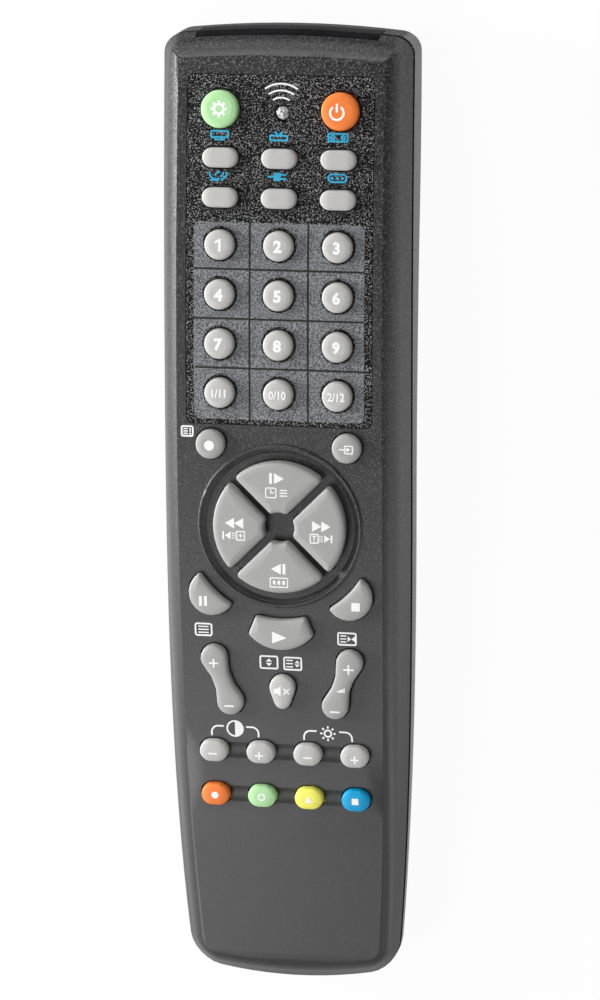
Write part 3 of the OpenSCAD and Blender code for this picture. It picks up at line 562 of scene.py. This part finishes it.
def power_sign(line):
    """An open ring with a stroke at its top."""
    thick = line * 1.3
    return [arc_line(0, -0.15, 1.4, 125, 415, thick), bar(0, -0.05, 0, 1.75, thick)]


def source_sign(line):
    """An arrow that leads into a box."""
    return [frame_box(0.6, 0, 1.9, 1.8, 0.2, line), bar(-1.5, 0, 0.15, 0, line),
            wedge(0.55, 0, 0.8, 1.0)]


def step_sign(line):
    """A bar, and a triangle that points away from it to the right."""
    return [bar(-1.2, -1.15, -1.2, 1.15, line * 1.7), wedge(0.55, 0, 2.1, 2.3)]


def back_step_sign(line):
    """A bar, and a triangle that points away from it to the left."""
    return [bar(1.2, -1.1, 1.2, 1.1, line * 1.7), wedge(-0.5, 0, -2.1, 2.3)]


def clock_sign(line):
    """A box with the two hands of a clock."""
    return [frame_box(0, 0, 2.4, 2.3, 0.4, line), bar(0, 0, 0, 0.75, line),
            bar(-line / 2, 0, 0.6, 0, line)]


def lines_sign(line):
    """Three lines of a page."""
    return [bar(-0.8, y, 0.8, y, line) for y in (-0.6, 0, 0.6)]


def fast_sign(side):
    """Two triangles in a row, which point to the right, or to the left where side is -1."""
    return [wedge(side * x, 0, side * 1.95, 2.3) for x in (-1.0, 0.95)]


def page_sign(side, line):
    """A page mark: a box with an arrow, six dots and a stopped triangle."""
    dots = [box(side * x, y, 0.28, 0.28) for x in (-0.35, 0.1) for y in (-0.5, 0, 0.5)]
    return [frame_box(-side * 1.55, 0, 1.9, 2.1, 0.2, line), peak(-side * 1.55, 0.25, 0.95, -side * 0.7),
            bar(-side * 1.55, -0.5, -side * 1.55, 0.3, line), wedge(side * 1.15, 0, side * 1.2, 1.7),
            bar(side * 2.1, -0.85, side * 2.1, 0.85, line * 1.4)] + dots


def pages_sign(line):
    """A box with three round marks."""
    return [frame_box(0, 0, 3.9, 2.2, 0.2, line)] + [box(x, 0, 0.6, 0.9, 0.25) for x in (-1.0, 0, 1.0)]


def pause_sign(line):
    """Two upright bars."""
    return [bar(x, -1.05, x, 1.05, line * 1.7) for x in (-0.53, 0.53)]


def mute_sign(line):
    """A loudspeaker with a cross beside it."""
    horn = [[(-1.7, -0.5), (-1.1, -0.5), (-0.25, -1.2), (-0.25, 1.2), (-1.1, 0.5), (-1.7, 0.5)]]
    return [horn, bar(0.35, -0.6, 1.55, 0.6, line), bar(0.35, 0.6, 0.8, 0.15, line),
            bar(1.1, -0.15, 1.55, -0.6, line)]


def volume_sign():
    """A long wedge that grows to the right."""
    return [[[(-0.95, -0.35), (0.95, -0.5), (0.95, 0.6)]]]


def text_box_sign(line, fine):
    """A box with three lines."""
    return [frame_box(0, 0, 3.8, 2.9, 0.6, line)] + [bar(-1.1, y, 1.1, y, fine) for y in (-0.65, 0, 0.65)]


def scroll_sign(line):
    """A box with a triangle up and one down."""
    return [frame_box(0, 0, 4.0, 3.0, 0.5, line), peak(0, 0.5, 1.3, 0.7), peak(0, -0.5, 1.3, -0.7)]


def list_scroll_sign(line, fine):
    """A box with three lines beside a triangle up and one down."""
    arrows = [peak(0.95, 0.45, 1.1, 0.65), peak(0.95, -0.45, 1.1, -0.65)]
    lines = [bar(-1.4, y, 0.05, y, fine) for y in (-0.7, 0, 0.7)]
    return [frame_box(0, 0, 4.0, 3.0, 0.5, line)] + arrows + lines


def list_hold_sign(line, fine):
    """A box with three lines beside two triangles that face each other."""
    arrows = [wedge(0.5, 0, 0.75, 1.2), wedge(1.3, 0, -0.75, 1.2)]
    lines = [bar(-1.4, y, -0.15, y, fine) for y in (-0.65, 0, 0.65)]
    return [frame_box(0, 0, 4.1, 2.9, 0.5, line)] + arrows + lines


def help_box_sign(line, fine):
    """A box with three lines beside a stroke over a dot."""
    call = [disc(0.6, -0.55, 0.2), bar(0.6, -0.2, 0.6, 0.6, fine)]
    lines = [bar(-0.8, y, 0.15, y, fine) for y in (-0.5, 0, 0.5)]
    return [frame_box(0, 0, 2.7, 2.4, 0.5, line)] + call + lines


def contrast_sign():
    """A disc with one half open."""
    return [[arc(0, 0, 1.85), arc(0, 0, 1.5, 90, 270)]]


def sun_sign(line):
    """A ring with eight rays."""
    turns = [math.radians(45 * i) for i in range(8)]
    rays = [bar(1.15 * math.cos(t), 1.15 * math.sin(t), 1.65 * math.cos(t), 1.65 * math.sin(t), line)
            for t in turns]
    return [ring(0, 0, 0.9, line)] + rays


def bracket_sign(line, reach, gap, drop):
    """Two bent lines that lead from a sign down to the keys on both sides."""
    level, bend = 0.45, 1.4
    shapes = []
    for side in (-1, 1):
        turn = (90, 180) if side < 0 else (90, 0)
        shapes.append(bar(side * gap, level, side * (reach - bend), level, line))
        shapes.append(arc_line(side * (reach - bend), level - bend, bend, *turn, line))
        shapes.append(bar(side * reach, level - bend, side * reach, level - drop, line))
    return shapes


def waves_sign(line):
    """Three arcs that spread to the signal end."""
    return [arc_line(0, 0, r, 90 - half, 90 + half, line)
            for r, half in ((5.95, 35), (4.6, 35), (3.15, 33))]


def screen_sign(line):
    """A wide screen over its foot."""
    return [frame_box(0, 0.2, 3.9, 1.6, 0.3, line), bar(-1.1, -0.9, 1.1, -0.9, line)]


def aerial_sign(line):
    """A box with two aerials."""
    return [frame_box(0, -0.35, 3.9, 1.3, 0.3, line), bar(-0.15, 0.35, -0.9, 0.95, line),
            bar(0.15, 0.35, 0.9, 0.95, line)]


def tape_sign(line):
    """A tape with its two reels."""
    return [frame_box(0, 0, 4.3, 1.9, 0.3, line), ring(-1.05, 0, 0.55, line), ring(1.05, 0, 0.55, line)]


def dish_sign(line):
    """A dish on its foot, with two waves."""
    return [arc_line(-0.7, 0.6, 1.35, 180, 300, line), bar(-1.0, 0.1, -0.3, 0.65, line),
            disc(-0.1, 0.75, 0.24), bar(-1.9, -0.95, 0.0, -0.95, line),
            arc_line(-0.1, 0.75, 1.0, -75, 0, line), arc_line(-0.1, 0.75, 1.7, -75, 0, line)]


def plug_sign(line):
    """A plug with two pins and its cord."""
    return [box(-0.2, 0, 1.5, 1.7, 0.2), bar(0.55, 0.42, 1.8, 0.42, line),
            bar(0.55, -0.42, 1.8, -0.42, line), bar(-2.2, 0, -0.95, 0, line)]


def socket_sign(line):
    """A strip with three sockets."""
    return [frame_box(0, 0, 4.1, 1.9, 0.9, line)] + [disc(x, 0, 0.3) for x in (-1.1, 0, 1.1)]


# Operators

class REMOTE_OT_case(bpy.types.Operator):
    """Finishes the two shells and the sliding battery cover"""
    bl_idname = "remote.case"
    bl_label = "Case and battery cover"

    def execute(self, context):
        shell = moulded_abs(context.scene.remote_finish)
        for node in ("top_case", "bottom_case", "battery_cover"):
            dress(node, shell, SHELL_ANGLE)
        return {"FINISHED"}


class REMOTE_OT_overlay(bpy.types.Operator):
    """Finishes the overlay plate and prints the twelve number panels on it"""
    bl_idname = "remote.overlay"
    bl_label = "Overlay and number panels"

    half_width: length("Half width", "Half the width of the panels together", 17.8)
    top: length("Top", "Upper edge of the panels, from the middle of the case", 62.95)
    low: length("Low", "Lower edge of the panels, from the middle of the case", 22.2)
    column: length("Column line", "Place of the dark lines between the columns", 6.1)
    outer_corner: length("Outer corner", "Corner radius of the panels together", 1.2)
    inner_corner: length("Inner corner", "Corner radius between the panels", 0.1)

    def execute(self, context):
        finish = context.scene.remote_finish
        sizes = context.scene.remote_print
        dress("front_overlay", embossed_film(finish), SHELL_ANGLE)
        grey = panel_ink(finish)
        black = screen_ink("black", finish.ink_black)
        gap = sizes.panel_gap / MM
        columns = [x / MM for x in (-self.half_width, -self.column, self.column, self.half_width)]
        middles = [[key_middle(node) for node in row] for row in DIGIT_KEYS]
        between = [(a[0][1] + b[0][1]) / 2 for a, b in zip(middles, middles[1:])]
        rows = [self.top / MM] + between + [self.low / MM]
        lines = [bar(x, rows[0], x, rows[-1], gap) for x in columns[1:-1]]
        for y in between:
            lines += [bar(a + gap / 2, y, b - gap / 2, y, gap) for a, b in zip(columns, columns[1:])]
        printed("number_panel_lines", flat_mesh(lines, PANEL_STEP), (0, 0), "front_overlay", "case", black)
        for r, row in enumerate(DIGIT_KEYS):
            for c, node in enumerate(row):
                lowest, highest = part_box(node)
                hole = (highest.x - lowest.x) / 2 / MM - sizes.panel_reach / MM
                shape = [self.panel(columns, rows, r, c, gap), arc(*middles[r][c], hole)]
                name = "number_panel_" + node.removeprefix(DIGIT_KEY)
                printed(name, flat_mesh([shape], PANEL_STEP), (0, 0), "front_overlay", "case", grey)
        return {"FINISHED"}

    def panel(self, columns, rows, r, c, gap):
        """Loop of one panel, half a gap from its neighbours and round at the corners of the whole block."""
        last_row, last_column = len(rows) - 2, len(columns) - 2
        x0 = columns[c] + (gap / 2 if c > 0 else 0)
        x1 = columns[c + 1] - (gap / 2 if c < last_column else 0)
        y1 = rows[r] - (gap / 2 if r > 0 else 0)
        y0 = rows[r + 1] + (gap / 2 if r < last_row else 0)
        ends = ((0, last_column), (0, 0), (last_row, 0), (last_row, last_column))
        corners = [(self.outer_corner if end == (r, c) else self.inner_corner) / MM for end in ends]
        return rounded((x0 + x1) / 2, (y0 + y1) / 2, x1 - x0, y1 - y0, corners)


class REMOTE_OT_keys(bpy.types.Operator):
    """Finishes the rubber keys in their colours, and the mat under them"""
    bl_idname = "remote.keys"
    bl_label = "Keys and keypad mat"

    def execute(self, context):
        finish = context.scene.remote_finish
        coats = {
            "warm_grey": (finish.key_warm, DEVICE_KEYS + sum(DIGIT_KEYS, []) + PALE_KEYS),
            "cool_grey": (finish.key_cool, PAD_KEYS + LOWER_KEYS + ["keypad_mat"]),
            "pale_green": (finish.key_green, ["set_key", "green_key"]),
            "orange": (finish.key_orange, ["power_key", "red_key"]),
            "yellow": (finish.key_yellow, ["yellow_key"]),
            "blue": (finish.key_blue, ["blue_key"]),
        }
        for name, (tone, nodes) in coats.items():
            rubber = silicone_rubber(finish, name, tone)
            for node in nodes:
                dress(node, rubber)
        return {"FINISHED"}


class REMOTE_OT_key_signs(bpy.types.Operator):
    """Prints the digits and signs on the keys"""
    bl_idname = "remote.key_signs"
    bl_label = "Digits and key signs"

    bold: share("Weight", "How much the digits are thickened, as a share of their size", 0.05)

    def execute(self, context):
        finish = context.scene.remote_finish
        sizes = context.scene.remote_print
        white = screen_ink("white", finish.ink_white)
        line, fine = sizes.line / MM, sizes.fine_line / MM
        digit, small = sizes.digit / MM, sizes.small_digit / MM
        for node in sum(DIGIT_KEYS, []):
            number = node.removeprefix(DIGIT_KEY)
            if node in DOUBLE_NUMBERS:
                flat = written(DOUBLE_NUMBERS[node], small, self.bold / 2, SMALL_SQUEEZE)
            elif number == "1":
                flat = flat_mesh(one_sign(digit))
            else:
                flat = written(number, digit, self.bold)
            printed("digit_" + number, flat, key_middle(node), node, node, white)
        # The name, shapes and place of each key's signs, in millimetres from the middle of the case
        signs = {
            "set_key": [("settings", [cog(0, 0, 1.7, 8, 0.5)], (-12.5, 86.15))],
            "power_key": [("power", power_sign(line), (12.0, 86.0))],
            "record_key": [("record", [disc(0, 0, 1.05)], (-14.35, 16.85))],
            "source_key": [("source", source_sign(fine), (14.3, 16.95))],
            "nav_up_key": [("step", step_sign(line), (-0.25, 10.4)),
                           ("clock", clock_sign(fine), (-1.45, 7.35)),
                           ("page_lines", lines_sign(fine), (1.2, 7.35))],
            "nav_left_key": [("rewind", fast_sign(-1), (-9.3, 0.6)),
                             ("page_back", page_sign(-1, fine), (-9.5, -2.05))],
            "nav_right_key": [("forward", fast_sign(1), (9.1, 0.55)),
                              ("page_on", page_sign(1, fine), (9.1, -2.05))],
            "nav_down_key": [("back_step", back_step_sign(line), (-0.1, -8.85)),
                             ("pages", pages_sign(fine), (0, -11.75))],
            "pause_key": [("pause", pause_sign(line), (-16.2, -16.4))],
            "stop_key": [("stop", [box(0, 0, 1.8, 1.8)], (16.05, -16.4))],
            "play_key": [("play", [wedge(0, 0, 3.1, 2.6)], (-0.15, -23.7))],
            "program_rocker": [("program_up", [plus(0, 0, 2.0, line)], (-14.3, -29.9)),
                               ("program_down", [minus(0, 0, 2.0, line)], (-11.25, -39.2))],
            "volume_rocker": [("volume_up", [plus(0, 0, 2.2, line)], (14.3, -30.1)),
                              ("volume_down", [minus(0, 0, 2.1, line)], (11.2, -39.5)),
                              ("volume", volume_sign(), (12.5, -34.7))],
            "mute_key": [("mute", mute_sign(line), (0.1, -35.45))],
            "contrast_down_key": [("contrast_less", [minus(0, 0, 1.75, line)], (-15.15, -50.0))],
            "contrast_up_key": [("contrast_more", [plus(0, 0, 1.75, line)], (-5.2, -50.0))],
            "bright_down_key": [("bright_less", [minus(0, 0, 1.75, line)], (5.1, -50.0))],
            "bright_up_key": [("bright_more", [plus(0, 0, 1.75, line)], (15.15, -50.0))],
            "red_key": [("red", [disc(0, 0, 0.75)], key_middle("red_key"))],
            "green_key": [("green", [ring(0, 0, 0.85, line)], key_middle("green_key"))],
            "yellow_key": [("yellow", [peak(0, 0, 1.7, 1.5)], key_middle("yellow_key"))],
            "blue_key": [("blue", [box(0, 0, 1.4, 1.4)], key_middle("blue_key"))],
        }
        for node, marks in signs.items():
            for name, shapes, at in marks:
                printed("sign_" + name, flat_mesh(shapes), at, node, node, white)
        return {"FINISHED"}


class REMOTE_OT_face_signs(bpy.types.Operator):
    """Prints the signs on the overlay and on the face of the case"""
    bl_idname = "remote.face_signs"
    bl_label = "Face signs"

    def execute(self, context):
        finish = context.scene.remote_finish
        sizes = context.scene.remote_print
        white = screen_ink("white_face", finish.ink_white)
        blue = screen_ink("blue", finish.ink_blue)
        line, fine = sizes.line / MM, sizes.fine_line / MM
        waves = flat_mesh(waves_sign(line))
        printed("sign_signal_waves", waves, (0.1, 85.3), "front_overlay", "case", white)
        devices = [screen_sign, aerial_sign, tape_sign, dish_sign, plug_sign, socket_sign]
        for node, sign in zip(DEVICE_KEYS, devices):
            at = [middle + shift for middle, shift in zip(key_middle(node), LABEL_SHIFT)]
            printed("label_" + node, flat_mesh(sign(line)), at, "front_overlay", "case", blue)
        # The shapes and place of each sign, in millimetres from the middle of the case
        face = {
            "sign_help": (help_box_sign(line, fine), (-19.3, 19.4)),
            "sign_text": (text_box_sign(line, fine), (-16.6, -23.0)),
            "sign_scroll": (scroll_sign(line), (-2.85, -29.6)),
            "sign_list_scroll": (list_scroll_sign(line, fine), (2.2, -29.7)),
            "sign_list_hold": (list_hold_sign(line, fine), (13.8, -23.8)),
            "sign_contrast": (contrast_sign(), (-10.5, -44.6)),
            "sign_bright": (sun_sign(line), (9.3, -44.8)),
            "sign_contrast_bracket": (bracket_sign(line, reach=5.0, gap=2.4, drop=2.2), (-10.5, -44.6)),
            "sign_bright_bracket": (bracket_sign(line, reach=5.1, gap=2.4, drop=2.1), (9.3, -44.8)),
        }
        for name, (shapes, at) in face.items():
            printed(name, flat_mesh(shapes), at, "top_case", "case", white)
        return {"FINISHED"}


class REMOTE_OT_window(bpy.types.Operator):
    """Finishes the signal window, the lamp and the sender behind the window"""
    bl_idname = "remote.window"
    bl_label = "Window and lamp"

    def execute(self, context):
        dark = dark_polycarbonate()
        dress("ir_window", dark, SHELL_ANGLE)
        dress("ir_led", dark)
        dress("indicator_led", diffused_epoxy())
        return {"FINISHED"}


class REMOTE_OT_inside(bpy.types.Operator):
    """Finishes the board, its parts, the cells and their contacts"""
    bl_idname = "remote.inside"
    bl_label = "Inside parts"

    def execute(self, context):
        resin = moulded_epoxy()
        ceramic = dipped_ceramic()
        steel = plated_steel()
        dress("circuit_board", paper_laminate())
        dress("controller_chip", resin)
        dress("driver_transistor", resin)
        dress("resonator", ceramic)
        dress("resistors", ceramic)
        dress("capacitor", shrink_sleeve("dark_blue", "#24365a", "#2f4a78"))
        dress("aaa_cells", shrink_sleeve("green", "#2f6b4d", "#3b8460"))
        for node in ("battery_springs", "battery_plates", "case_screw"):
            dress(node, steel)
        return {"FINISHED"}


class REMOTE_OT_stage(bpy.types.Operator):
    """Sets the pale floor, the soft lights and the camera"""
    bl_idname = "remote.stage"
    bl_label = "Stage"

    floor_half: length("Floor", "Half the width of the floor", 1500)
    floor_gap: length("Floor gap", "Gap between the floor and the back of the case", 0.1)
    floor_glow: share("Floor glow", "Share of its own light in the floor that is seen", 0.95)

    def execute(self, context):
        stage = context.scene.remote_stage
        self.lay_floor(context)
        # The name, power and place of each light, and its width and height, in metres
        lights = (
            ("left_softbox", stage.left_box, (-0.8, 0.11, 0.24), (0.3, 0.4)),
            ("end_softbox", stage.end_box, (-0.25, 0.88, 0.36), (0.6, 0.25)),
            ("tail_softbox", stage.tail_box, (-0.52, -0.5, 0.78), (0.5, 0.5)),
            ("right_softbox", stage.right_box, (0.52, -0.6, 0.62), (0.4, 0.4)),
            ("right_strip", stage.right_strip, (0.85, -0.45, 0.12), (0.5, 0.2)),
        )
        for name, watts, at, size in lights:
            self.hang_light(context, name, watts, at, size)
        self.light_room(context, stage.sky)
        self.place_camera(context, stage)
        context.scene.view_settings.view_transform = "Standard"
        return {"FINISHED"}

    def lay_floor(self, context):
        """A floor that the camera sees nearly white and that keeps the remote's soft shadow."""
        mesh = bpy.data.meshes.new("floor")
        h, z = self.floor_half, CAD_BOX[0].z - self.floor_gap
        mesh.from_pydata([(-h, -h, z), (h, -h, z), (h, h, z), (-h, h, z)], [], [(0, 1, 2, 3)])
        paper = new_material("matt_white_paper")
        matt = add_node(paper, "ShaderNodeBsdfPrincipled",
                        {"Base Color": linear("#f6f6f5"), "Roughness": 0.9})
        ray = add_node(paper, "ShaderNodeLightPath").outputs
        seen = ray["Is Camera Ray"]
        for kind in ("Is Glossy Ray", "Is Transmission Ray"):
            either = add_node(paper, "ShaderNodeMath", {0: seen, 1: ray[kind]}, operation="MAXIMUM")
            seen = either.outputs[0]
        part = add_node(paper, "ShaderNodeMath", {0: seen, 1: self.floor_glow}, operation="MULTIPLY")
        glow = add_node(paper, "ShaderNodeEmission", {"Color": linear("#ffffff"), "Strength": 1.0})
        both = add_node(paper, "ShaderNodeMixShader",
                        {0: part.outputs[0], 1: matt.outputs["BSDF"], 2: glow.outputs["Emission"]})
        add_node(paper, "ShaderNodeOutputMaterial", {"Surface": both.outputs["Shader"]})
        mesh.materials.append(paper)
        floor = bpy.data.objects.new("floor", mesh)
        context.collection.objects.link(floor)

    def hang_light(self, context, name, watts, at, size):
        """A softbox that faces the middle of the remote."""
        lamp = bpy.data.lights.new(name, "AREA")
        lamp.shape = "RECTANGLE"
        lamp.size, lamp.size_y = size
        lamp.energy = watts
        holder = bpy.data.objects.new(name, lamp)
        holder.location = at
        holder.rotation_euler = (-Vector(at)).to_track_quat("-Z", "Y").to_euler()
        context.collection.objects.link(holder)

    def light_room(self, context, strength):
        """Even white light from all round."""
        room = bpy.data.worlds.new("studio_room")
        room.use_nodes = True
        back = room.node_tree.nodes["Background"]
        back.inputs["Color"].default_value = linear("#ffffff")
        back.inputs["Strength"].default_value = strength
        context.scene.world = room

    def place_camera(self, context, stage):
        """The camera stands over the face, to its right and to the signal end."""
        az, el, roll = stage.azimuth, stage.elevation, stage.roll
        toward = Vector((math.sin(az) * math.cos(el), math.sin(el), math.cos(az) * math.cos(el)))
        right = Vector((0, 1, 0)).cross(toward).normalized()
        up = toward.cross(right)
        across = right * math.cos(roll) + up * math.sin(roll)
        over = up * math.cos(roll) - right * math.sin(roll)
        lens = bpy.data.cameras.new("camera")
        lens.sensor_fit = "VERTICAL"
        lens.sensor_height = SENSOR_HEIGHT
        lens.lens = stage.focal
        holder = bpy.data.objects.new("camera", lens)
        place = Matrix((across, over, toward)).transposed().to_4x4()
        place.translation = toward * stage.distance + across * stage.side_step
        holder.matrix_world = place
        context.collection.objects.link(holder)
        context.scene.camera = holder


OPERATORS = (REMOTE_OT_case, REMOTE_OT_overlay, REMOTE_OT_keys, REMOTE_OT_key_signs, REMOTE_OT_face_signs,
             REMOTE_OT_window, REMOTE_OT_inside, REMOTE_OT_stage)


class REMOTE_PT_panel(bpy.types.Panel):
    """Lists the steps that dress the remote, and the sizes and colours that they use"""
    bl_idname = "REMOTE_PT_panel"
    bl_label = "Remote control"
    bl_space_type = "VIEW_3D"
    bl_region_type = "UI"
    bl_category = "Remote"

    def draw(self, context):
        for step in OPERATORS:
            self.layout.operator(step.bl_idname)
        for group in (context.scene.remote_finish, context.scene.remote_print, context.scene.remote_stage):
            for name in group.__annotations__:
                self.layout.prop(group, name)


CLASSES = (RemoteFinish, RemotePrint, RemoteStage) + OPERATORS + (REMOTE_PT_panel,)


def register():
    for item in CLASSES:
        bpy.utils.register_class(item)
    bpy.types.Scene.remote_finish = PointerProperty(type=RemoteFinish)
    bpy.types.Scene.remote_print = PointerProperty(type=RemotePrint)
    bpy.types.Scene.remote_stage = PointerProperty(type=RemoteStage)


def unregister():
    del bpy.types.Scene.remote_stage
    del bpy.types.Scene.remote_print
    del bpy.types.Scene.remote_finish
    for item in reversed(CLASSES):
        bpy.utils.unregister_class(item)


def main():
    register()
    bpy.ops.remote.case()
    bpy.ops.remote.overlay()
    bpy.ops.remote.keys()
    bpy.ops.remote.key_signs()
    bpy.ops.remote.face_signs()
    bpy.ops.remote.window()
    bpy.ops.remote.inside()
    bpy.ops.remote.stage()


if __name__ == "__main__":
    main()
